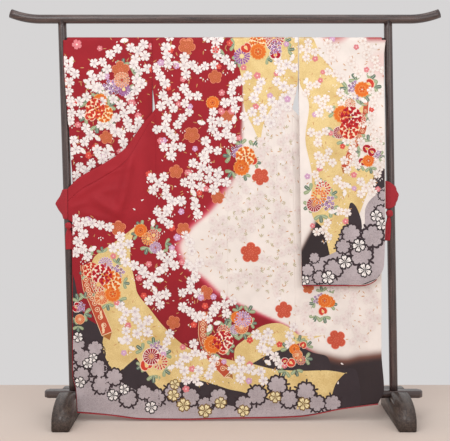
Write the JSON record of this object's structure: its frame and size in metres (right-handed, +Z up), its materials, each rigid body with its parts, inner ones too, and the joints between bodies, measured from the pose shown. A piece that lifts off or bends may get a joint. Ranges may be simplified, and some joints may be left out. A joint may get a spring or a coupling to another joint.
{
  "type": "silk kimono on a wooden kimono rack",
  "caption": "Long-sleeved silk kimono with a figured floral design, hung spread and back outwards on a two-post wooden rack with an upswept top rail.",
  "frame": {"origin": "on the floor under the middle of the top rail", "axes": "+X along the top rail, +Z up, and the garment's back faces -Y"},
  "size_m": [1.754, 0.41, 1.6802],
  "materials": {
    "lacquered_wood": "dark brown stain under a thin clear lacquer, satin to gloss",
    "figured_silk": "crepe silk, red to white and grey grounds with dyed and gold flowers, soft sheen",
    "red_silk": "plain red crepe silk, soft sheen"
  },
  "bodies": {
    "root": {"rack_top_rail": "lacquered_wood", "rack_post_left": "lacquered_wood", "rack_post_right": "lacquered_wood", "rack_pole_socket_left": "lacquered_wood", "rack_pole_socket_right": "lacquered_wood", "rack_sleeve_pole": "lacquered_wood", "rack_bottom_bar": "lacquered_wood", "rack_foot_left": "lacquered_wood", "rack_foot_right": "lacquered_wood", "back_left": "figured_silk", "back_right": "figured_silk", "shoulder_left": "figured_silk", "shoulder_right": "figured_silk", "front_left": "figured_silk", "front_right": "figured_silk", "okumi_left": "figured_silk", "okumi_right": "figured_silk", "chest_left": "figured_silk", "chest_right": "figured_silk", "collar_upper_left": "figured_silk", "collar_upper_right": "figured_silk", "sleeve_left": "figured_silk", "sleeve_right": "figured_silk", "collar_lower_left": "red_silk", "collar_lower_right": "red_silk", "collar_wrap_left": "red_silk", "collar_wrap_right": "red_silk", "collar_knot_left": "red_silk", "collar_knot_right": "red_silk", "collar_end_left": "red_silk", "collar_end_right": "red_silk", "hem_roll": "red_silk", "sleeve_roll_left": "red_silk", "sleeve_roll_right": "red_silk"}
  },
  "joints": []
}
